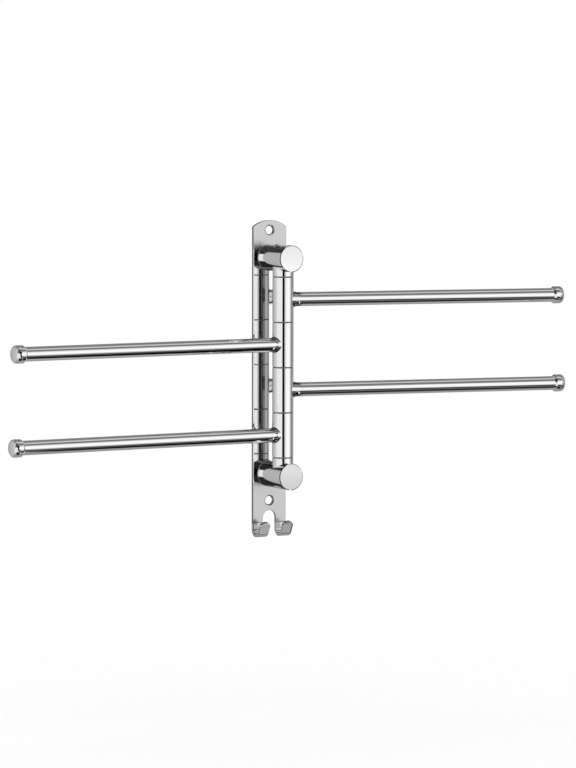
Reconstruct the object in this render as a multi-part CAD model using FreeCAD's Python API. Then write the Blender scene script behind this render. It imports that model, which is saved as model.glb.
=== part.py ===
import FreeCAD, Part

import math
import os

os.makedirs("parts", exist_ok=True)

# Four-arm swing towel bar for a bathroom wall, in stainless steel.
# The origin is on the wall, midway between the two wall screw holes.
# +X runs along the wall to the right, +Y into the wall and +Z up. Lengths are in millimetres.

# ---------------------------------------------------------------- driving dimensions

# Wall plate: one stamped and bent sheet.
plate_width = 34.0
plate_thickness = 2.5
plate_edge_break = 0.3
arch_radius = 28.0
wall_hole_diameter = 7.6
wall_countersink_diameter = 9.8
post_to_wall_hole = 24.5
wall_hole_to_crown = 9.0

# Two robe hooks, the bent ends of the sheet on each side of a round-topped slot.
wall_hole_to_slot = 9.0
slot_width = 13.0
slot_crown_to_hook_bottom = 23.4
hook_outer_radius = 6.8
hook_lean_degrees = 26.0
hook_lip_length = 11.0
hook_lip_crown = 3.4

# Posts: solid turned bars that slide over a stud and carry the column.
post_diameter = 24.0
axis_to_plate_front = 24.5
axis_to_post_face = 15.5
post_face_bevel_width = 0.7
post_face_bevel_depth = 0.33
post_root_chamfer = 0.4

# Hidden stud inside each post, held by a countersunk screw from behind the plate.
stud_diameter = 12.0
stud_to_rod_gap = 0.9
stud_screw_diameter = 5.0
stud_screw_head_diameter = 9.4
stud_screw_grip = 10.0
stud_screw_socket = 3.0
stud_screw_socket_depth = 1.5

# Socket set screw that locks each post on its stud.
set_screw_diameter = 6.0
set_screw_from_plate = 16.9
set_screw_sunk = 0.9
set_screw_mouth_diameter = 8.2
set_screw_socket = 3.0
set_screw_socket_depth = 2.4

# Pivot rod and the column that turns on it.
rod_diameter = 8.0
rod_seat_depth = 18.0
sleeve_diameter = 19.0
sleeve_bore = 16.0
sleeve_length = 39.6
sleeve_edge_rounding = 0.25
bush_length = 8.0
washer_diameter = 18.0
washer_thickness = 0.8
collar_length = 4.1

# Arms: thin-wall tube welded to its sleeve, with a pushed-on cap.
arm_reach = 275.0
arm_diameter = 12.7
arm_wall = 1.0
weld_rise = 1.0
weld_length = 4.5
cap_diameter = 15.7
cap_length = 10.6
cap_end_wall = 3.6
cap_corner_radius = 2.8
cap_dome_rise = 1.2
cap_rim_length = 1.5
cap_rim_step = 0.3

# Directions in which the arms stand at rest, in degrees from +X, turning anticlockwise from above.
# The arms are listed from the top sleeve down.
arm_headings = [
    ("upper_right", -8.6),
    ("upper_left", 183.5),
    ("lower_right", -9.4),
    ("lower_left", 182.5),
]

# Clearances.
running_clearance = 0.05    # on the radius, where a bush turns on the rod
washer_clearance = 0.1      # on the radius, where a loose washer lies round the rod
axial_play = 0.05           # between each sleeve and the washer beside it
seat_clearance = 0.02       # on the radius or face of a fixed seat
end_clearance = 0.3         # at the bottom of a blind hole
thread_run_out = 1.5        # depth of a tapped hole past its screw
edge_chamfer = 0.4          # on rod, stud and screw ends

# ---------------------------------------------------------------- places that follow from them

half_plate = plate_width / 2
post_radius = post_diameter / 2
rod_radius = rod_diameter / 2
stud_radius = stud_diameter / 2
sleeve_radius = sleeve_diameter / 2
arm_radius = arm_diameter / 2
cap_radius = cap_diameter / 2

plate_front = -plate_thickness
axis_y = plate_front - axis_to_plate_front
post_face_y = axis_y - axis_to_post_face

sleeve_count = len(arm_headings)
sleeve_pitch = sleeve_length + washer_thickness + 2 * axial_play
top_washer_z = sleeve_pitch * sleeve_count / 2
collar_z = top_washer_z + washer_thickness / 2
post_z = collar_z + collar_length + post_radius
rod_end_z = post_z - post_radius + rod_seat_depth
wall_hole_z = post_z + post_to_wall_hole
plate_crown_z = wall_hole_z + wall_hole_to_crown
slot_crown_z = -wall_hole_z - wall_hole_to_slot
hook_bottom_z = slot_crown_z - slot_crown_to_hook_bottom
bend_z = hook_bottom_z + hook_outer_radius

stud_length = axis_to_plate_front - rod_radius - stud_to_rod_gap
stud_end_y = plate_front - stud_length
set_screw_y = plate_front - set_screw_from_plate

UP = FreeCAD.Vector(0, 0, 1)
TO_ROOM = FreeCAD.Vector(0, -1, 0)
ORIGIN = FreeCAD.Vector(0, 0, 0)
COLUMN = FreeCAD.Vector(0, axis_y, 0)


def point(x, y, z):
    return FreeCAD.Vector(x, y, z)


def bar(radius, start, direction, length):
    """A round bar that starts at a point and runs along a direction."""
    return Part.makeCylinder(radius, length, start, direction)


def taper(start_radius, end_radius, start, direction, length):
    """A round taper that starts at a point and runs along a direction."""
    return Part.makeCone(start_radius, end_radius, length, start, direction)


def ring(outer_radius, inner_radius, start, direction, length):
    """A plain ring or tube."""
    hole = bar(inner_radius, start, direction, length)
    return bar(outer_radius, start, direction, length).cut(hole)


def hexagon(across_flats, start, direction, length):
    """A hexagonal prism, used to cut a key socket."""
    corner = across_flats / math.sqrt(3)
    turn = FreeCAD.Rotation(UP, direction)
    corners = []
    for index in range(7):
        angle = math.radians(60 * index)
        flat = point(corner * math.cos(angle), corner * math.sin(angle), 0)
        corners.append(start + turn.multVec(flat))
    return Part.Face(Part.makePolygon(corners)).extrude(direction * length)


def circles_at(shape, radius, centre):
    """The circular edges of a shape with a given radius and centre."""
    found = []
    for edge in shape.Edges:
        curve = edge.Curve
        if isinstance(curve, Part.Circle) and abs(curve.Radius - radius) < 1e-4:
            if curve.Center.distanceToPoint(centre) < 1e-4:
                found.append(edge)
    return found


def turned_over(shape):
    """The same piece used at the bottom of the column instead of the top."""
    other = shape.copy()
    other.rotate(ORIGIN, TO_ROOM, 180)
    return other


# ---------------------------------------------------------------- wall plate with its hooks

def flat_sheet():
    """The flat of the wall plate: an arched top, and a slot that parts the two hook tabs."""
    shoulder_z = plate_crown_z - arch_radius + math.sqrt(arch_radius ** 2 - half_plate ** 2)
    half_slot = slot_width / 2
    slot_side_z = slot_crown_z - half_slot
    left, right = -half_plate, half_plate
    edges = [
        Part.makeLine(point(left, 0, bend_z), point(left, 0, shoulder_z)),
        Part.Arc(point(left, 0, shoulder_z), point(0, 0, plate_crown_z),
                 point(right, 0, shoulder_z)).toShape(),
        Part.makeLine(point(right, 0, shoulder_z), point(right, 0, bend_z)),
        Part.makeLine(point(right, 0, bend_z), point(half_slot, 0, bend_z)),
        Part.makeLine(point(half_slot, 0, bend_z), point(half_slot, 0, slot_side_z)),
        Part.Arc(point(half_slot, 0, slot_side_z), point(0, 0, slot_crown_z),
                 point(-half_slot, 0, slot_side_z)).toShape(),
        Part.makeLine(point(-half_slot, 0, slot_side_z), point(-half_slot, 0, bend_z)),
        Part.makeLine(point(-half_slot, 0, bend_z), point(left, 0, bend_z)),
    ]
    return Part.Face(Part.Wire(edges)).extrude(TO_ROOM * plate_thickness)


def on_bend(x, radius, degrees):
    """A point on a hook's bend, turned from the plate about the bend's centre line."""
    angle = math.radians(degrees)
    return point(x, -hook_outer_radius + radius * math.cos(angle), bend_z - radius * math.sin(angle))


def robe_hook(x_start, x_end):
    """One tab bent forward and up, with a straight lip that leans out and has a crowned end."""
    inner_radius = hook_outer_radius - plate_thickness
    bend = 180 - hook_lean_degrees
    outside = [on_bend(x_start, hook_outer_radius, share * bend) for share in (0, 0.5, 1)]
    inside = [on_bend(x_start, inner_radius, share * bend) for share in (0, 0.5, 1)]
    section = Part.Wire([
        Part.Arc(*outside).toShape(),
        Part.makeLine(outside[2], inside[2]),
        Part.Arc(inside[2], inside[1], inside[0]).toShape(),
        Part.makeLine(inside[0], outside[0]),
    ])
    curl = Part.Face(section).extrude(point(x_end - x_start, 0, 0))

    along = point(0, -math.sin(math.radians(bend)), -math.cos(math.radians(bend)))
    inward = inside[2] - outside[2]
    across = point(x_end - x_start, 0, 0)
    near_corner, far_corner = outside[2], outside[2] + across
    near_shoulder = near_corner + along * (hook_lip_length - hook_lip_crown)
    far_shoulder = near_shoulder + across
    crown = near_corner + across * 0.5 + along * hook_lip_length
    lip_outline = Part.Wire([
        Part.makeLine(near_corner, near_shoulder),
        Part.Arc(near_shoulder, crown, far_shoulder).toShape(),
        Part.makeLine(far_shoulder, far_corner),
        Part.makeLine(far_corner, near_corner),
    ])
    return curl.fuse(Part.Face(lip_outline).extrude(inward))


def break_plate_edges(plate):
    """Rounds every outer edge of the sheet, but not the edges of its drilled holes."""
    sharp = []
    for edge in plate.Edges:
        drilled = isinstance(edge.Curve, Part.Circle) and abs(edge.Curve.Axis.y) > 0.999
        drilled = drilled and abs(edge.Curve.Center.x) < 1e-4 and edge.Closed
        faces = plate.ancestorsOfType(edge, Part.Face)
        if drilled or len(faces) != 2:
            continue
        middle = edge.valueAt((edge.FirstParameter + edge.LastParameter) / 2)
        first = faces[0].normalAt(*faces[0].Surface.parameter(middle))
        second = faces[1].normalAt(*faces[1].Surface.parameter(middle))
        if abs(first.dot(second)) < 0.5:
            sharp.append(edge)
    return plate.makeFillet(plate_edge_break, sharp)


def back_plate():
    half_slot = slot_width / 2
    plate = flat_sheet()
    plate = plate.fuse(robe_hook(-half_plate, -half_slot))
    plate = plate.fuse(robe_hook(half_slot, half_plate)).removeSplitter()
    plate = break_plate_edges(plate)

    hole_radius = wall_hole_diameter / 2
    countersink_radius = wall_countersink_diameter / 2
    countersink_depth = countersink_radius - hole_radius
    head_radius = stud_screw_head_diameter / 2
    shank_hole = stud_screw_diameter / 2 + washer_clearance
    for side in (1, -1):
        wall_hole = bar(hole_radius, point(0, 0, side * wall_hole_z), TO_ROOM, plate_thickness)
        countersink = taper(countersink_radius, hole_radius,
                            point(0, plate_front, side * wall_hole_z), -TO_ROOM, countersink_depth)
        screw_hole = bar(shank_hole, point(0, 0, side * post_z), TO_ROOM, plate_thickness)
        screw_seat = taper(head_radius + seat_clearance, shank_hole, point(0, 0, side * post_z),
                           TO_ROOM, head_radius + seat_clearance - shank_hole)
        plate = plate.cut(wall_hole.fuse([countersink, screw_hole, screw_seat]))
    return plate


# ---------------------------------------------------------------- posts and what fixes them

def top_post():
    """A solid bar with a bore for its stud, a blind seat for the rod and a tapped set screw hole."""
    root = point(0, plate_front, post_z)
    length = axis_to_plate_front + axis_to_post_face - post_face_bevel_depth
    post = bar(post_radius, root, TO_ROOM, length)
    post = post.makeChamfer(post_root_chamfer, circles_at(post, post_radius, root))
    bevel = taper(post_radius, post_radius - post_face_bevel_width, root + TO_ROOM * length, TO_ROOM,
                  post_face_bevel_depth)
    post = post.fuse(bevel)

    stud_bore = bar(stud_radius + running_clearance, root, TO_ROOM, stud_length + end_clearance)
    rod_seat = bar(rod_radius + seat_clearance, point(0, axis_y, post_z - post_radius), UP,
                   rod_seat_depth + end_clearance)
    screw_line = point(0, set_screw_y, post_z)
    set_screw_hole = bar(set_screw_diameter / 2 + seat_clearance, screw_line, UP, post_radius)
    mouth_radius = set_screw_mouth_diameter / 2
    mouth = taper(set_screw_diameter / 2, mouth_radius,
                  point(0, set_screw_y, post_z + post_radius - mouth_radius + set_screw_diameter / 2),
                  UP, mouth_radius - set_screw_diameter / 2)
    return post.cut(stud_bore.fuse([rod_seat, set_screw_hole, mouth]))


def top_stud():
    """The spigot inside the post, tapped from behind for its screw."""
    root = point(0, plate_front, post_z)
    stud = bar(stud_radius, root, TO_ROOM, stud_length)
    stud = stud.makeChamfer(edge_chamfer, circles_at(stud, stud_radius, point(0, stud_end_y, post_z)))
    thread = bar(stud_screw_diameter / 2 + seat_clearance, root, TO_ROOM,
                 stud_screw_grip + thread_run_out)
    return stud.cut(thread)


def top_stud_screw():
    """A countersunk socket screw, flush with the back of the plate."""
    back = point(0, 0, post_z)
    shank_radius = stud_screw_diameter / 2
    head_radius = stud_screw_head_diameter / 2
    head = taper(head_radius, shank_radius, back, TO_ROOM, head_radius - shank_radius)
    shank = bar(shank_radius, back, TO_ROOM, plate_thickness + stud_screw_grip)
    tip = point(0, plate_front - stud_screw_grip, post_z)
    shank = shank.makeChamfer(edge_chamfer, circles_at(shank, shank_radius, tip))
    socket = hexagon(stud_screw_socket, back, TO_ROOM, stud_screw_socket_depth)
    return head.fuse(shank).cut(socket)


def top_set_screw():
    """A socket set screw, sunk in the post, with its flat point on the stud."""
    radius = set_screw_diameter / 2
    start_z = post_z + stud_radius + seat_clearance
    end_z = post_z + post_radius - set_screw_sunk
    start, end = point(0, set_screw_y, start_z), point(0, set_screw_y, end_z)
    screw = bar(radius, start, UP, end_z - start_z)
    rims = circles_at(screw, radius, start) + circles_at(screw, radius, end)
    screw = screw.makeChamfer(edge_chamfer, rims)
    return screw.cut(hexagon(set_screw_socket, end, -UP, set_screw_socket_depth))


def top_collar():
    """The fixed end of the column, shaped at its far end to sit round the post."""
    collar = ring(sleeve_radius, rod_radius + seat_clearance, point(0, axis_y, collar_z), UP,
                  post_z - collar_z)
    lower_rim = circles_at(collar, sleeve_radius, point(0, axis_y, collar_z))
    collar = collar.makeFillet(sleeve_edge_rounding, lower_rim)
    post_space = bar(post_radius + seat_clearance, point(0, 0, post_z), TO_ROOM, -2 * post_face_y)
    return collar.cut(post_space)


# ---------------------------------------------------------------- pivot rod and washers

def pivot_rod():
    foot, head = point(0, axis_y, -rod_end_z), point(0, axis_y, rod_end_z)
    rod = bar(rod_radius, foot, UP, 2 * rod_end_z)
    rims = circles_at(rod, rod_radius, foot) + circles_at(rod, rod_radius, head)
    return rod.makeChamfer(edge_chamfer, rims)


def washer(centre_z):
    return ring(washer_diameter / 2, rod_radius + washer_clearance,
                point(0, axis_y, centre_z - washer_thickness / 2), UP, washer_thickness)


# ---------------------------------------------------------------- one swing arm, pointing along +X

def sleeve(low_z):
    """The turning knuckle of an arm."""
    tube = ring(sleeve_radius, sleeve_bore / 2, point(0, axis_y, low_z), UP, sleeve_length)
    rims = []
    for end_z in (low_z, low_z + sleeve_length):
        rims += circles_at(tube, sleeve_radius, point(0, axis_y, end_z))
    return tube.makeFillet(sleeve_edge_rounding, rims)


def bush(low_z):
    """A nylon bearing pushed into one end of a sleeve."""
    return ring(sleeve_bore / 2 - seat_clearance, rod_radius + running_clearance,
                point(0, axis_y, low_z), UP, bush_length)


def arm_tube(centre_z):
    """The towel tube, with a weld fillet that swells towards the saddle on the sleeve."""
    tube_end = arm_reach - cap_end_wall - seat_clearance
    weld_start = sleeve_radius + weld_length
    weld_radius = arm_radius + weld_rise
    rise = weld_rise * 0.25
    outline = Part.Wire([
        Part.makeLine(point(0, axis_y, centre_z), point(0, axis_y, centre_z + weld_radius)),
        Part.makeLine(point(0, axis_y, centre_z + weld_radius),
                      point(sleeve_radius, axis_y, centre_z + weld_radius)),
        Part.Arc(point(sleeve_radius, axis_y, centre_z + weld_radius),
                 point(sleeve_radius + weld_length / 2, axis_y, centre_z + arm_radius + rise),
                 point(weld_start, axis_y, centre_z + arm_radius)).toShape(),
        Part.makeLine(point(weld_start, axis_y, centre_z + arm_radius),
                      point(tube_end, axis_y, centre_z + arm_radius)),
        Part.makeLine(point(tube_end, axis_y, centre_z + arm_radius),
                      point(tube_end, axis_y, centre_z)),
        Part.makeLine(point(tube_end, axis_y, centre_z), point(0, axis_y, centre_z)),
    ])
    body = Part.Face(outline).revolve(point(0, axis_y, centre_z), point(1, 0, 0), 360)
    bore = bar(arm_radius - arm_wall, point(0, axis_y, centre_z), point(1, 0, 0), arm_reach)
    saddle = bar(sleeve_radius + seat_clearance, point(0, axis_y, centre_z - sleeve_length), UP,
                 2 * sleeve_length)
    return body.cut(bore.fuse(saddle))


def end_cap(centre_z):
    """A cup over the tube's end: bevelled rim, round corner and a domed face."""
    rim_x = arm_reach - cap_length
    rim_radius = arm_radius + cap_rim_step
    along = point(1, 0, 0)
    start = point(rim_x, axis_y, centre_z)
    body = taper(rim_radius, cap_radius, start, along, cap_rim_length)
    body = body.fuse(bar(cap_radius, start + along * cap_rim_length, along,
                         cap_length - cap_rim_length))
    dome_radius = (cap_radius ** 2 + cap_dome_rise ** 2) / (2 * cap_dome_rise)
    dome = Part.makeSphere(dome_radius, point(arm_reach - dome_radius, axis_y, centre_z))
    body = body.common(dome).removeSplitter()
    corner = circles_at(body, cap_radius, point(arm_reach - cap_dome_rise, axis_y, centre_z))
    body = body.makeFillet(cap_corner_radius, corner)
    socket = bar(arm_radius + seat_clearance, start, along, cap_length - cap_end_wall)
    return body.cut(socket)


def swing_arm(name, index, heading):
    """All the pieces of one arm, by node name, turned to their heading about the column."""
    centre_z = top_washer_z - sleeve_pitch * (index + 0.5)
    low_z = centre_z - sleeve_length / 2
    pieces = {
        name + "_sleeve": sleeve(low_z),
        name + "_upper_bush": bush(low_z + sleeve_length - bush_length),
        name + "_lower_bush": bush(low_z),
        name + "_arm_tube": arm_tube(centre_z),
        name + "_end_cap": end_cap(centre_z),
    }
    for piece in pieces.values():
        piece.rotate(COLUMN, UP, heading)
    return pieces


# ---------------------------------------------------------------- the whole towel bar

parts = {"back_plate": back_plate(), "pivot_rod": pivot_rod()}
for piece_name, make in (("post", top_post), ("stud", top_stud), ("stud_screw", top_stud_screw),
                         ("set_screw", top_set_screw), ("collar", top_collar)):
    shape = make()
    parts["top_" + piece_name] = shape
    parts["bottom_" + piece_name] = turned_over(shape)
for index in range(sleeve_count + 1):
    parts["washer_" + str(index + 1)] = washer(top_washer_z - sleeve_pitch * index)
for index, (name, heading) in enumerate(arm_headings):
    parts.update(swing_arm(name, index, heading))

for name, shape in parts.items():
    shape.exportStep("parts/" + name + ".step")
print(len(parts), "pieces, all valid:", all(shape.isValid() for shape in parts.values()))
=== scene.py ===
import math

import bpy
from mathutils import Matrix, Vector


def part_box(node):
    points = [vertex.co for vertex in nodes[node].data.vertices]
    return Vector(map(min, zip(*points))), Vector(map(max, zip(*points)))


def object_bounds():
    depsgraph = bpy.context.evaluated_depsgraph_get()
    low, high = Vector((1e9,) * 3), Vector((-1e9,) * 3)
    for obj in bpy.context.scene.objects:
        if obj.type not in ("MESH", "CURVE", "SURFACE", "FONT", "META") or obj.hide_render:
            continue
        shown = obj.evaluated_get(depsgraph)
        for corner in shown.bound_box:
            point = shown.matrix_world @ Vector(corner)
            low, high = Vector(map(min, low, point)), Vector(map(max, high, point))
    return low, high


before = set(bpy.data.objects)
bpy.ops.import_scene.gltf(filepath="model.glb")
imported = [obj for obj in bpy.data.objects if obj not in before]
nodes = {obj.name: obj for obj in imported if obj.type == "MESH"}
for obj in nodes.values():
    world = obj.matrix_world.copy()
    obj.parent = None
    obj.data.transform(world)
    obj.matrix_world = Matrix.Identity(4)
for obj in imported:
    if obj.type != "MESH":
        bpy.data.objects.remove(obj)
cad_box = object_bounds()


# ---- Camera -------------------------------------------------------------------------
# A long lens stands level with the middle of the column, to the left of the bar and a
# little above it, and looks slightly past the column's centre.

def middle(node):
    """The centre of a piece's box."""
    low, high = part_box(node)
    return (low + high) / 2


column_centre = middle("pivot_rod")
camera_turn = math.radians(29.543)
camera_lift = math.radians(4.131)
camera_roll = math.radians(0.127)
camera_distance = 3.286
aim_right = 0.0045
aim_up = -0.0151
picture_height = 768
focal_length_in_pixels = 3670.2

looking = Vector((math.sin(camera_turn) * math.cos(camera_lift),
                  math.cos(camera_turn) * math.cos(camera_lift),
                  -math.sin(camera_lift)))
level_right = Vector((math.cos(camera_turn), -math.sin(camera_turn), 0))
level_up = level_right.cross(looking)
picture_right = level_right * math.cos(camera_roll) + level_up * math.sin(camera_roll)
picture_up = level_up * math.cos(camera_roll) - level_right * math.sin(camera_roll)
aim = column_centre + picture_right * aim_right + picture_up * aim_up

camera = bpy.data.objects.new("camera", bpy.data.cameras.new("camera"))
camera.data.sensor_width = 36
camera.data.lens = focal_length_in_pixels / picture_height * camera.data.sensor_width
camera.data.clip_end = 50
camera.matrix_world = Matrix.Translation(aim - looking * camera_distance) @ Matrix(
    (picture_right, picture_up, -looking)).transposed().to_4x4()
bpy.context.scene.collection.objects.link(camera)
bpy.context.scene.camera = camera
bpy.context.scene.view_settings.view_transform = "Standard"


# ---- Studio -------------------------------------------------------------------------
# A white studio. Polished metal shows only what stands round it, so there is one large
# light in front, a low one on the left, a strip overhead, and dark gaps between them.

class Value:
    """A socket of a shader that can be used in an expression."""

    def __init__(self, tree, socket=None):
        self.tree = tree
        self.socket = socket

    def node(self, kind, settings, inputs, output=0):
        """Adds a node to the tree: its settings, then values or links by socket."""
        made = self.tree.nodes.new(kind)
        for name, setting in settings.items():
            if name == "stops":
                set_stops(made.color_ramp, setting)
            else:
                setattr(made, name, setting)
        for name, value in inputs.items():
            if isinstance(value, Value):
                self.tree.links.new(value.socket, made.inputs[name])
            else:
                made.inputs[name].default_value = value
        return Value(self.tree, made.outputs[output] if len(made.outputs) else None)

    def maths(self, operation, *values):
        """Maths on the given values, in this value's tree."""
        return self.node("ShaderNodeMath", {"operation": operation}, dict(enumerate(values)))

    def __add__(self, other):
        return self.maths("ADD", self, other)

    def __radd__(self, other):
        return self.maths("ADD", other, self)

    def __sub__(self, other):
        return self.maths("SUBTRACT", self, other)

    def __rsub__(self, other):
        return self.maths("SUBTRACT", other, self)

    def __mul__(self, other):
        return self.maths("MULTIPLY", self, other)

    def __rmul__(self, other):
        return self.maths("MULTIPLY", other, self)

    def __truediv__(self, other):
        return self.maths("DIVIDE", self, other)

    def __neg__(self):
        return self.maths("MULTIPLY", self, -1)

    def __abs__(self):
        return self.maths("ABSOLUTE", self)

    def split(self):
        """The three parts of a vector."""
        made = self.node("ShaderNodeSeparateXYZ", {}, {0: self})
        return [Value(self.tree, socket) for socket in made.socket.node.outputs]

    def step(self, start, end):
        """0 before start and 1 after end, with a smooth rise between them."""
        return self.node("ShaderNodeMapRange", {"interpolation_type": "SMOOTHSTEP"},
                         {"Value": self, "From Min": start, "From Max": end})

    def between(self, start, end, soft):
        """1 from start to end, with soft edges outside."""
        return self.step(start - soft, start) * (1 - self.step(end, end + soft))

    def mix(self, other, share):
        """This value, giving way to another one as the share goes from 0 to 1."""
        return self + (other - self) * share

    def levels(self, stops):
        """A level looked up by an angle from -180 to 180 degrees."""
        places = [((angle + 180) / 360, level) for angle, level in stops]
        return self.node("ShaderNodeValToRGB", {"stops": places}, {0: (self + 180) / 360})


def set_stops(ramp, stops):
    """Fills a colour ramp with grey levels."""
    while len(ramp.elements) < len(stops):
        ramp.elements.new(1)
    for element, (place, level) in zip(ramp.elements, stops):
        element.position = place
        element.color = (level, level, level, 1)


studio = bpy.data.worlds.new("studio")
bpy.context.scene.world = studio
studio.use_nodes = True
studio.node_tree.nodes.clear()
room = Value(studio.node_tree)

# A direction in the room, in degrees: its turn from straight out of the wall to the right,
# its height above level, and its rise from straight out of the wall, seen along the wall.
degrees = 180 / math.pi
to_right, to_wall, to_sky = room.node("ShaderNodeTexCoord", {}, {}).split()
rise = room.maths("ARCTAN2", to_sky, -to_wall) * degrees
turn = room.maths("ARCTAN2", to_right, -to_wall) * degrees
height = room.maths("ARCSINE", to_sky) * degrees


def patch(left, right, side_edge, low, high, end_edge):
    """1 over the part of the room between two turns and two heights, with soft edges."""
    return turn.between(left, right, side_edge) * height.between(low, high, end_edge)


# What the level arms show: from behind, down under the bar, up through the front light
# and on over the strip overhead.
shown = rise.levels([
    (-180, 0.52), (-160, 0.48), (-140, 0.38), (-125, 0.30), (-92, 0.36), (-82, 0.18),
    (-74, 0.02), (-54, 0.01), (-45, 0.14), (-35, 0.29), (-25, 0.43), (-14, 0.73),
    (-3, 0.94), (8, 1.04), (18, 1.04), (27, 0.92), (36, 0.58), (46, 0.26), (56, 0.08),
    (64, 0.22), (73, 0.66), (82, 0.69), (92, 0.36), (102, 0.22), (117, 0.17),
    (132, 0.22), (160, 0.40), (180, 0.52)])

# What the upright column shows at its own level, from behind on the left, past the front
# and round to behind on the right.
round_the_column = turn.levels([
    (-180, 0.34), (-165, 0.40), (-150, 0.48), (-134, 0.54), (-117, 0.62), (-103, 0.74),
    (-91, 0.84), (-82, 0.94), (-66, 0.86), (-42, 0.92), (-30, 0.92), (-14, 0.60),
    (1, 0.82), (11, 1.00), (22, 1.06), (38, 1.06), (48, 0.94), (63, 0.48), (80, 0.18),
    (102, 0.36), (120, 0.45), (150, 0.50), (180, 0.50)])
level_with_bar = height.between(-8, 2, 5)
left_behind = (1 - turn.step(-92, -84)) * height.between(-30, 28, 8)
shown = shown.mix(round_the_column, room.maths("MAXIMUM", level_with_bar, left_behind))

# The low light on the left, with dark above it. Below level it reaches further right.
low_light = 0.90
over_low_light = 0.04
light_end_at_level = -37
light_end_curve = 0.024
below = room.maths("MINIMUM", height, 0)
light_end = below * below * light_end_curve + light_end_at_level
past_light = (turn - light_end).step(-1.5, 1.5)
on_the_left = turn.step(-94, -84) * (1 - past_light)
shown = shown.mix(over_low_light, on_the_left * height.between(10, 52, 5))
shown = shown.mix(low_light, on_the_left * height.between(-28, 5, 7) * (1 - level_with_bar))

# The dark gap between that light and the front one, which widens upward and downward.
gap_end_at_level = -13.5
gap_end_curve = 0.030
gap_end_curve_below = 0.037
gap_end = (height * height * gap_end_curve + below * below * gap_end_curve_below
           + gap_end_at_level)
gap = past_light * (1 - (turn - gap_end).step(-6, 6))
shown = shown.mix(0.0, gap * height.between(-32, 34, 6))

# A dark patch on the ground in front for the left arms, a glow beside it, which only the
# hooks show, and dark behind, where the wall holes and the arms' top edges look.
shown = shown.mix(0.0, patch(49, 90, 3, -57, -36, 3))
shown = shown.mix(1.0, patch(28, 60, 5, -62, -34, 5) * to_right.between(0.390, 0.476, 0.012))
shown = shown.mix(0.03, patch(138, 166, 5, 7, 18, 3))
shown = shown.mix(0.02, abs(turn).step(157, 162) * height.between(19, 35, 4))

# Metal seen in other metal shows the bright wall on the left and dark above and below, and
# after a third reflection it is much dimmer. The first reflection has a ray depth of 2.
left_wall = 0.94
wall_behind = 0.75
kept_after_third = 0.2
depth = room.node("ShaderNodeLightPath", {}, {}, "Ray Depth")
third = depth.step(3.2, 3.8)
second = depth.step(2.2, 2.8) * (1 - third)
off_level = abs(height).step(9, 14)
shown = shown.mix(left_wall, second * turn.between(-124, -92, 8) * level_with_bar)
shown = shown.mix(0.02, second * turn.between(-75, 12, 6) * off_level)
shown = shown.mix(left_wall, second * patch(-70, -31, 3, -13, 11, 4))
shown = shown.mix(wall_behind,
                  second * abs(turn).step(90, 110) * (1 - height.between(-8, 8, 4)))
shown = shown * (1 - (1 - kept_after_third) * third)

in_metal = room.node("ShaderNodeLightPath", {}, {}, "Is Glossy Ray")
strength = 1 + (shown - 1) * in_metal
background = room.node("ShaderNodeBackground", {},
                       {"Color": (1, 1, 1, 1), "Strength": strength})
room.node("ShaderNodeOutputWorld", {}, {"Surface": background})


# ---- Floor --------------------------------------------------------------------------
# A plain white studio floor, well below the hooks, because the bar hangs on a wall. The
# metal shows the studio's lights instead of it.
floor_size = 6.0
floor_below_hooks = 0.16
floor_white = (0.998, 0.998, 0.998, 1)


def new_finish(name):
    """A new material, and an empty value on its node tree to build from."""
    material = bpy.data.materials.new(name)
    material.use_nodes = True
    material.node_tree.nodes.clear()
    return material, Value(material.node_tree)


def close_finish(surface, sockets):
    """Gives a finish its shader."""
    shader = surface.node("ShaderNodeBsdfPrincipled", {}, sockets)
    surface.node("ShaderNodeOutputMaterial", {}, {"Surface": shader})


white_floor, paint = new_finish("white_floor")
speckle = paint.node("ShaderNodeTexNoise", {}, {"Scale": 40.0, "Detail": 3.0})
close_finish(paint, {"Base Color": floor_white, "Specular IOR Level": 0.0,
                     "Roughness": 0.8 + 0.15 * speckle})

half = floor_size / 2
floor_mesh = bpy.data.meshes.new("floor")
floor_mesh.from_pydata([(-half, -half, 0), (half, -half, 0), (half, half, 0), (-half, half, 0)],
                       [], [(0, 1, 2, 3)])
floor_mesh.materials.append(white_floor)
floor = bpy.data.objects.new("floor", floor_mesh)
floor.location.z = cad_box[0][2] - floor_below_hooks
floor.visible_glossy = False
bpy.context.scene.collection.objects.link(floor)


# ---- Back plate ---------------------------------------------------------------------
# One stainless sheet, stamped, polished and bent. The face between the posts is a mirror
# with a slight crown, both ends are satin down to the hooks' bends, and the sheared edges
# stay dull.

def steel(level):
    """The very slightly blue grey of stainless steel."""
    return (level, level, level + 0.005, 1)


def place_on(surface):
    """Where a point is in the shared frame at rest, in metres."""
    return surface.node("ShaderNodeTexCoord", {}, {}, "Object")


def facing(surface):
    """Which way the surface faces at that point."""
    return surface.node("ShaderNodeTexCoord", {}, {}, "Normal").split()


def between_colours(share, first, second):
    """A colour that goes from the first to the second as the share goes from 0 to 1."""
    return share.node("ShaderNodeMix", {"data_type": "RGBA"},
                      {0: share, 6: first, 7: second}, 2)


def bumped(height_map):
    """The surface's normal with a height in metres laid over it."""
    return height_map.node("ShaderNodeBump", {}, {"Height": height_map, "Distance": 1.0})


def noise(surface, stretch, detail=2.0):
    """Noise from 0 to 1, with so many grains to a metre along each direction."""
    scaled = surface.node("ShaderNodeVectorMath", {"operation": "MULTIPLY"},
                          {0: place_on(surface), 1: stretch})
    return surface.node("ShaderNodeTexNoise", {},
                        {"Vector": scaled, "Scale": 1.0, "Detail": detail})


def put_on(material, *pieces):
    """Gives pieces a finish in place of the CAD model's own."""
    for piece in pieces:
        nodes[piece].data.materials.clear()
        nodes[piece].data.materials.append(material)


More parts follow.
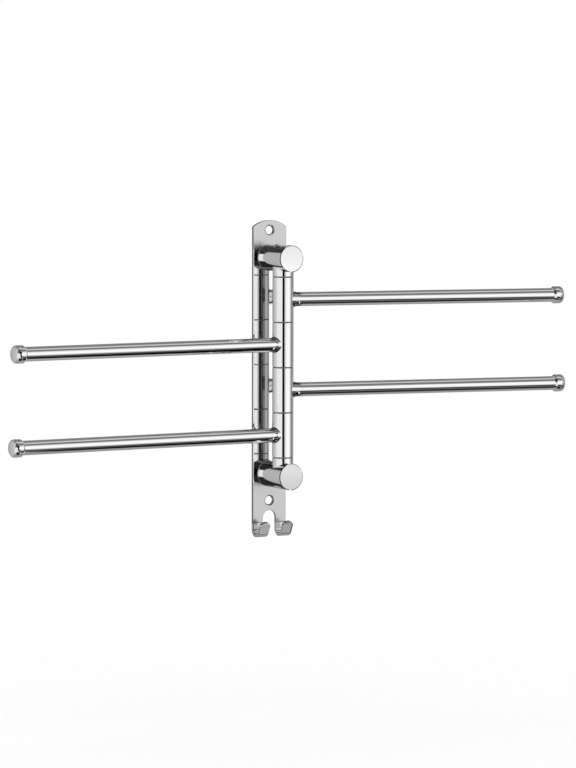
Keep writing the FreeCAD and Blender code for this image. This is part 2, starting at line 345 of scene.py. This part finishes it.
mirror_steel = steel(0.92)
satin_steel = steel(0.60)
sheared_steel = steel(0.22)
mirror_roughness = 0.02
satin_roughness = 0.16
curl_roughness = 0.18
sheared_roughness = 0.3
crown_radius = 2.0
crown_lean = math.tan(math.radians(3.0))
rolled_edge = 0.0015
rolled_curve = 60
dent_depth = 0.000006
belt_line_depth = 0.00001
bend_start = 0.1415
bend_blend = 0.0008
plate_low, plate_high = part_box("back_plate")
half_plate = (plate_high.x - plate_low.x) / 2
_, post_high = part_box("top_post")
satin_start = post_high.z - 0.0045
satin_blend = 0.0007
# How squarely a face looks up, down or sideways where a finish begins and where it's full.
curl_faces = (0.05, 0.25)
edge_faces = (0.55, 0.8)

plate_finish, sheet = new_finish("polished_plate")
x, _, z = place_on(sheet).split()
side_x, _, side_z = facing(sheet)
hook = (-z).step(bend_start, bend_start + bend_blend)
inside_curl = hook * side_z.step(*curl_faces)
outside_curl = hook * (-side_z).step(*curl_faces)
satin = abs(z).step(satin_start - satin_blend, satin_start + satin_blend)
sheared = abs(side_x).step(*edge_faces) * (1 - hook)
grain = noise(sheet, (900, 900, 90), 4.0)
cloud = noise(sheet, (45, 45, 30))
dents = noise(sheet, (60, 60, 40))
belt_lines = noise(sheet, (40, 40, 2600))

colour = between_colours(satin * (1 - inside_curl) * (1 - outside_curl),
                         mirror_steel, satin_steel)
colour = between_colours(sheared, colour, sheared_steel)
past_flat = sheet.maths("MAXIMUM", abs(x) - (half_plate - rolled_edge), 0)
crown = x * x * (-0.5 / crown_radius) + x * crown_lean
waves = dents * dent_depth + belt_lines * belt_line_depth
rolled = past_flat * past_flat * -rolled_curve
close_finish(sheet, {
    "Base Color": colour, "Metallic": 1.0,
    "Roughness": (mirror_roughness + 0.02 * grain
                  + satin * (satin_roughness + 0.08 * cloud) * (1 - hook)
                  + outside_curl * curl_roughness + sheared * sheared_roughness),
    "Normal": bumped((crown + waves) * (1 - hook) + rolled)})
put_on(plate_finish, "back_plate")


# ---- Posts --------------------------------------------------------------------------
# Solid stainless bars, turned and polished, that slide over studs on the plate. Their end
# faces are satin with a narrow bevel and carry painted shade: lighter on the top post than the
# bottom one, and darker away from the column. The mouth of the set screw hole is unpolished
# and painted black as shade in the hole.
face_roughness = 0.18
# Painted shade: the mouth of the set screw hole is painted almost black, as the shade inside
# the hole.
mouth_painted_shade_black = (0.005, 0.005, 0.005, 1)
mouth_radius = 0.0042
mouth_edge = 0.0001
mouth_roughness = 0.7
mouth_heights = (0.104, 0.105)
root_start = 0.0013
root_full = 0.0010
root_roughness = 0.45
# Heights over which the end faces' painted shade darkens away from the column.
face_shade_heights = (0.082, 0.112)
end_faces = (0.96, 0.99)
screw_centre = middle("top_set_screw")


def from_upright(surface, line_y):
    """How far a point is from the upright line at the middle of the plate and this y."""
    x, y, _ = place_on(surface).split()
    out = y - line_y
    return surface.maths("SQRT", x * x + out * out)


post_finish, turned = new_finish("polished_post")
_, y, z = place_on(turned).split()
_, side_y, _ = facing(turned)
end_face = (-side_y).step(*end_faces)
from_screw = from_upright(turned, screw_centre.y)
in_mouth = 1 - from_screw.step(mouth_radius - mouth_edge, mouth_radius)
mouth_painted_shade = in_mouth * abs(z).step(*mouth_heights)
root = y.step(post_high.y - root_start, post_high.y - root_full)
rings = noise(turned, (30, 1500, 30), 3.0)

# Painted light and shade: the top post's face is painted lighter than the bottom one's, and
# both are painted darker away from the column.
painted_shade_away_from_column = abs(z).step(*face_shade_heights)
top_face_painted_light = between_colours(painted_shade_away_from_column, steel(0.93), steel(0.80))
bottom_face_painted_shade = between_colours(painted_shade_away_from_column, steel(0.78), steel(0.64))
on_top_post = z.step(-0.01, 0.01)
face_painted_light_and_shade = between_colours(on_top_post, bottom_face_painted_shade, top_face_painted_light)
colour = between_colours(end_face, mirror_steel, face_painted_light_and_shade)
# The mouth is painted black as shade in the hole, and is not metal there.
colour = between_colours(mouth_painted_shade, colour, mouth_painted_shade_black)
close_finish(turned, {
    "Base Color": colour, "Metallic": 1 - mouth_painted_shade, "Specular IOR Level": 0.0,
    "Roughness": (mirror_roughness + 0.02 * rings + end_face * face_roughness
                  + mouth_painted_shade * mouth_roughness + root * root_roughness),
    "Normal": bumped(rings * 0.0000002)})
put_on(post_finish, "top_post", "bottom_post")


# ---- Studs and screws ---------------------------------------------------------------
# Hidden fixings: plain turned steel studs and pivot rod, bright countersunk screws behind
# the plate, and black set screws sunk in the posts.
stud_finish, turned = new_finish("plain_steel")
lathe_marks = noise(turned, (200, 2500, 200), 3.0)
close_finish(turned, {
    "Base Color": between_colours(lathe_marks, (0.50, 0.50, 0.51, 1), (0.62, 0.62, 0.63, 1)),
    "Metallic": 1.0, "Roughness": 0.28 + 0.12 * lathe_marks,
    "Normal": bumped(lathe_marks * 0.000004)})
put_on(stud_finish, "top_stud", "bottom_stud", "pivot_rod")

screw_finish, headed = new_finish("screw_steel")
dulling = noise(headed, (800, 800, 800), 3.0)
close_finish(headed, {
    "Base Color": between_colours(dulling, (0.55, 0.55, 0.55, 1), (0.66, 0.66, 0.65, 1)),
    "Metallic": 1.0, "Roughness": 0.25 + 0.15 * dulling,
    "Normal": bumped(dulling * 0.000003)})
put_on(screw_finish, "top_stud_screw", "bottom_stud_screw")

black_finish, oiled = new_finish("black_screw")
scale = noise(oiled, (1500, 1500, 1500), 3.0)
close_finish(oiled, {
    "Base Color": between_colours(scale, (0.012, 0.012, 0.013, 1), (0.03, 0.03, 0.03, 1)),
    "Roughness": 0.35 + 0.25 * scale, "Normal": bumped(scale * 0.000004)})
put_on(black_finish, "top_set_screw", "bottom_set_screw")


# ---- Column -------------------------------------------------------------------------
# Four turning sleeves between two fixed collars, all of polished stainless tube. The
# polishing belt ran round them and left very fine rings.
tube_steel = steel(0.90)
tube_steel_bright = steel(0.94)
ripple_depth = 0.000002

column_finish, tube = new_finish("polished_column")
belt_marks = noise(tube, (60, 60, 1800), 3.0)
ripple = noise(tube, (120, 120, 9))
close_finish(tube, {
    "Base Color": between_colours(belt_marks, tube_steel, tube_steel_bright),
    "Metallic": 1.0, "Roughness": mirror_roughness + 0.02 * belt_marks,
    "Normal": bumped(ripple * ripple_depth)})
arm_names = [name[:-len("_sleeve")] for name in nodes if name.endswith("_sleeve")]
put_on(column_finish, "top_collar", "bottom_collar", *[arm + "_sleeve" for arm in arm_names])


# ---- Washers and bushes -------------------------------------------------------------
# Dark grey nylon washers part the sleeves, and white nylon bushes inside them turn on the
# rod. Both are moulded, with a fine matt skin.
for finish_name, dark, light, pieces in (
        ("grey_nylon", (0.105, 0.105, 0.107, 1), (0.145, 0.145, 0.147, 1),
         [name for name in nodes if name.startswith("washer")]),
        ("white_nylon", (0.78, 0.78, 0.75, 1), (0.84, 0.84, 0.81, 1),
         [name for name in nodes if name.endswith("bush")])):
    nylon_finish, moulded = new_finish(finish_name)
    skin = noise(moulded, (1200, 1200, 1200), 3.0)
    close_finish(moulded, {
        "Base Color": between_colours(skin, dark, light),
        "Roughness": 0.45 + 0.2 * skin, "Normal": bumped(skin * 0.000006)})
    put_on(nylon_finish, *pieces)


# ---- Arm tubes ----------------------------------------------------------------------
# Thin stainless tube, polished along its length, and welded to its sleeve. The weld swells
# a little towards the sleeve, and above and below it the tube is painted dark grey as a
# painted reflection of the dark surroundings.
weld_end = 0.019
weld_blend = 0.006
weld_roughness = 0.15
weld_faces = (0.45, 0.75)
# Painted reflection: the dark grey painted above and below the weld.
weld_painted_dark_reflection = (0.10, 0.10, 0.10, 1)

arm_finish, tube = new_finish("polished_arm")
draw_marks = noise(tube, (15, 900, 900), 3.0)
ripple = noise(tube, (14, 120, 120))
_, _, side_z = facing(tube)
near_sleeve = 1 - from_upright(tube, column_centre.y).step(weld_end - weld_blend, weld_end)
# Painted reflection: near the sleeve, faces turned up or down are painted dark grey.
weld_painted_dark = near_sleeve * abs(side_z).step(*weld_faces)
colour = between_colours(draw_marks, tube_steel, tube_steel_bright)
close_finish(tube, {
    "Base Color": between_colours(weld_painted_dark, colour, weld_painted_dark_reflection),
    "Metallic": 1.0,
    "Roughness": mirror_roughness + 0.025 * draw_marks + weld_painted_dark * weld_roughness,
    "Normal": bumped(ripple * ripple_depth)})
put_on(arm_finish, *[arm + "_arm_tube" for arm in arm_names])


# ---- End caps -----------------------------------------------------------------------
# Pressed stainless cups pushed over the tube ends and polished. The press turned the side
# in a little, just before the round corner that leads to the domed face.
turned_in_from = 0.2694
turning_length = 0.0016
turning = 146
dome_start = 0.2737

cap_finish, cup = new_finish("polished_cap")
buffing = noise(cup, (500, 500, 500), 3.0)
before_dome = cup.maths("MINIMUM", from_upright(cup, column_centre.y), dome_start)
past_side = cup.maths("MAXIMUM", before_dome - turned_in_from, 0)
curved = cup.maths("MINIMUM", past_side, turning_length)
turned_edge = (past_side * curved * 2 - curved * curved) * -turning
close_finish(cup, {
    "Base Color": between_colours(buffing, steel(0.89), steel(0.93)),
    "Metallic": 1.0, "Roughness": 0.03 + 0.04 * buffing,
    "Normal": bumped(buffing * 0.0000004 + turned_edge)})
put_on(cap_finish, *[arm + "_end_cap" for arm in arm_names])
